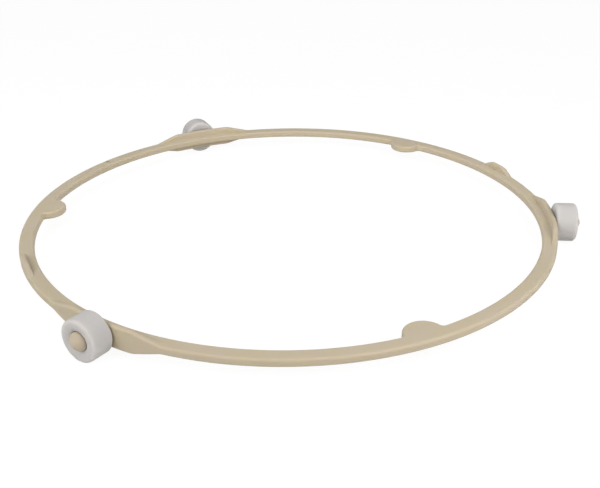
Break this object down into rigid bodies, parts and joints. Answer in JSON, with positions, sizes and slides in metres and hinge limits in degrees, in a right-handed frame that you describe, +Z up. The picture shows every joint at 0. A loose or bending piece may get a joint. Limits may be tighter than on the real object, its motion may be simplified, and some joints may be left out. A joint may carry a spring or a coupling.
{
  "type": "microwave roller ring",
  "caption": "Thin flat moulded ring with free-spinning rollers on stub axles around its rim, which carries a microwave oven's glass tray as it turns.",
  "frame": {"origin": "centre of the ring at the height of the axles", "axes": "+Z up at the tray, +Y outward along the axle of roller_1, +X outward through one of the two low lips"},
  "size_m": [0.2, 0.2099, 0.0142],
  "materials": {
    "ring_plastic": "beige heat-resistant plastic with a satin moulded skin",
    "roller_plastic": "white slippery plastic with a soft satin skin"
  },
  "bodies": {
    "ring": {"ring_frame": "ring_plastic"},
    "roller_1": {"roller_1": "roller_plastic"},
    "roller_2": {"roller_2": "roller_plastic"},
    "roller_3": {"roller_3": "roller_plastic"}
  },
  "joints": [
    {"name": "roller_1_spin", "type": "hinge", "parent": "ring", "child": "roller_1", "pos_m": [0, 0.10402, 0], "axis": [0, 1, 0], "continuous": true},
    {"name": "roller_2_spin", "type": "hinge", "parent": "ring", "child": "roller_2", "pos_m": [-0.09008, -0.05201, 0], "axis": [-0.866, -0.5, 0], "continuous": true},
    {"name": "roller_3_spin", "type": "hinge", "parent": "ring", "child": "roller_3", "pos_m": [0.09008, -0.05201, 0], "axis": [0.866, -0.5, 0], "continuous": true}
  ]
}
